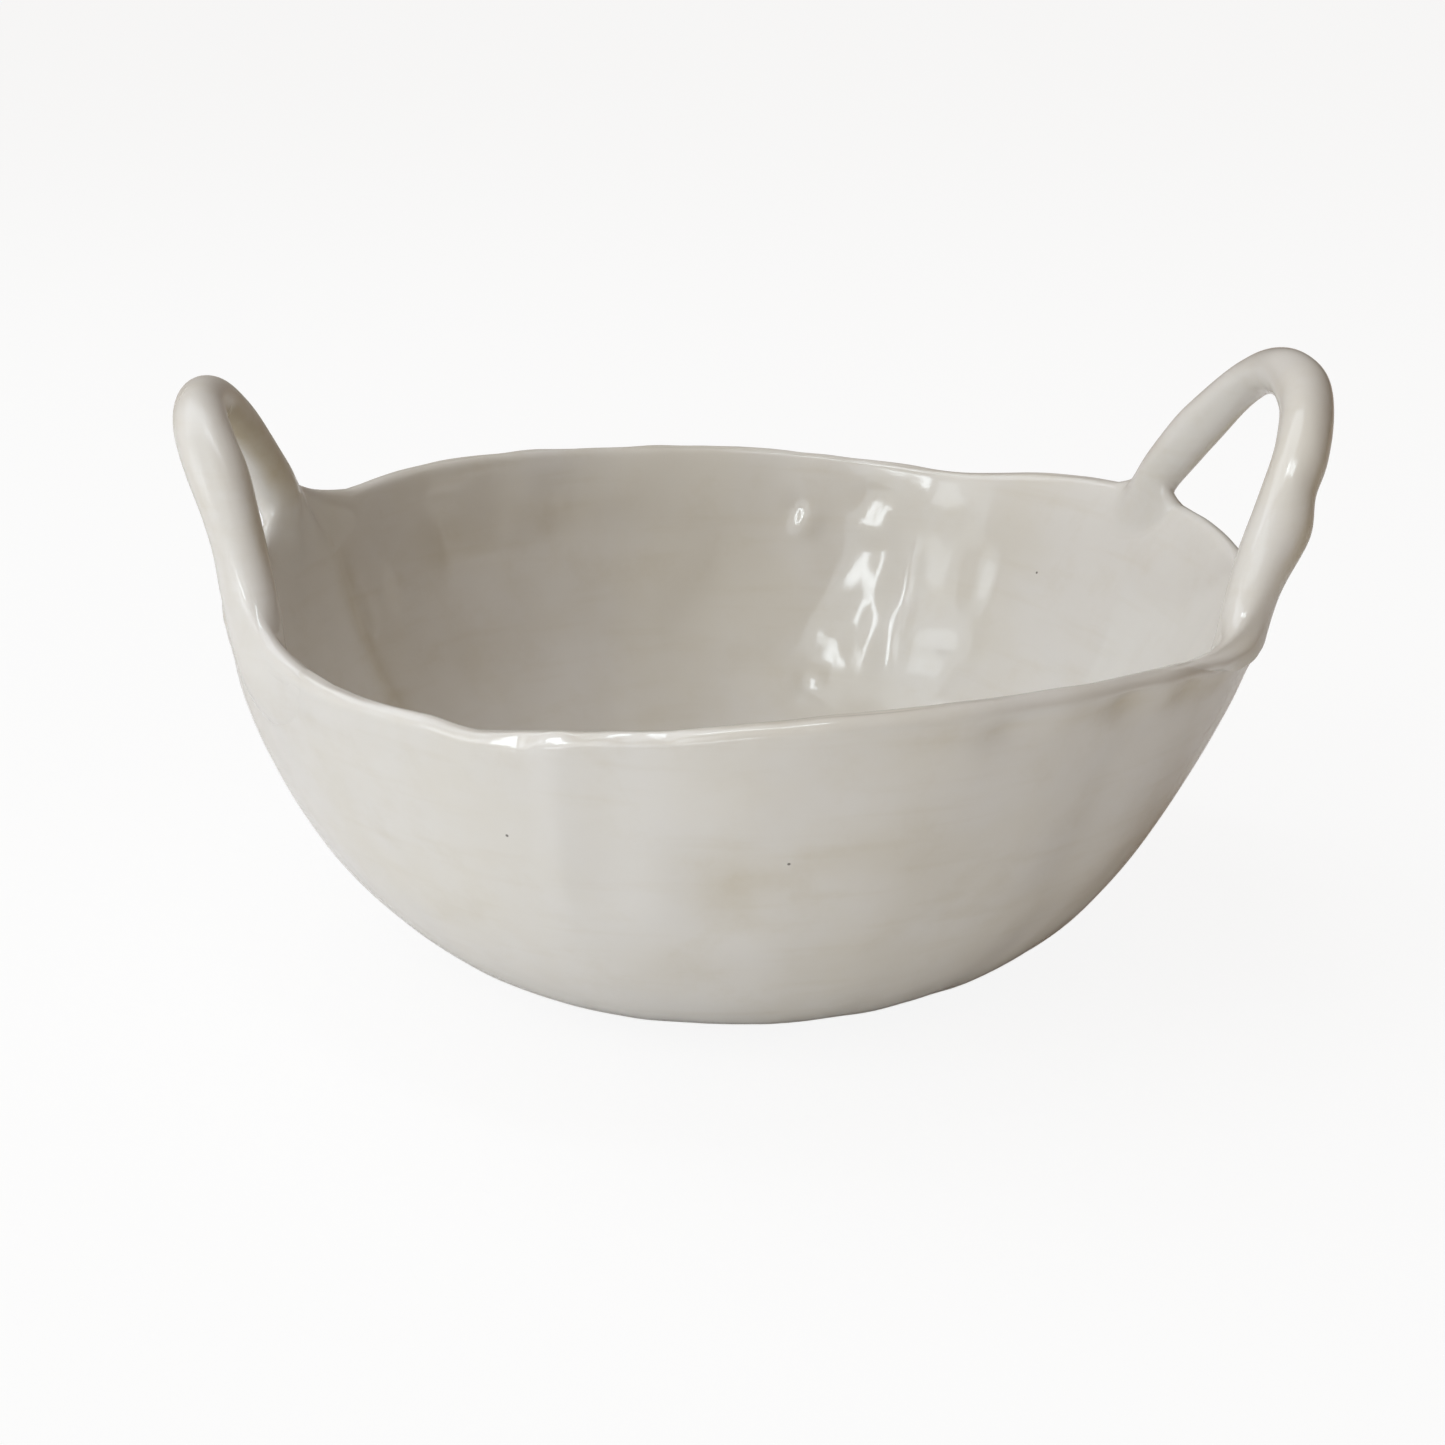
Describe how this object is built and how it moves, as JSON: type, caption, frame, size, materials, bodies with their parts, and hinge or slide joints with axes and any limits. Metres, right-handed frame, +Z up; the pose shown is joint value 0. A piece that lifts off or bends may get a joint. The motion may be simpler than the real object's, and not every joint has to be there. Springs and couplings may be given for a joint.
{
  "type": "handled serving bowl",
  "caption": "Round hand-pinched glazed ceramic bowl with a wavy rim and two upright coil handles astride it, for serving food and lifting with both hands.",
  "frame": {"origin": "middle of the flat base, on the surface that the bowl stands on", "axes": "+Z up; +X through the two handles towards the right one as pictured; +Y from the front of the bowl to its back"},
  "size_m": [0.2607, 0.2434, 0.1431],
  "materials": {
    "shell_glaze": "glossy warm white glaze over pinched clay",
    "left_handle_glaze": "glossy warm white glaze over a rolled coil",
    "right_handle_glaze": "glossy warm white glaze over a rolled coil"
  },
  "bodies": {
    "root": {"bowl_shell": "shell_glaze", "left_handle": "left_handle_glaze", "right_handle": "right_handle_glaze"}
  },
  "joints": []
}
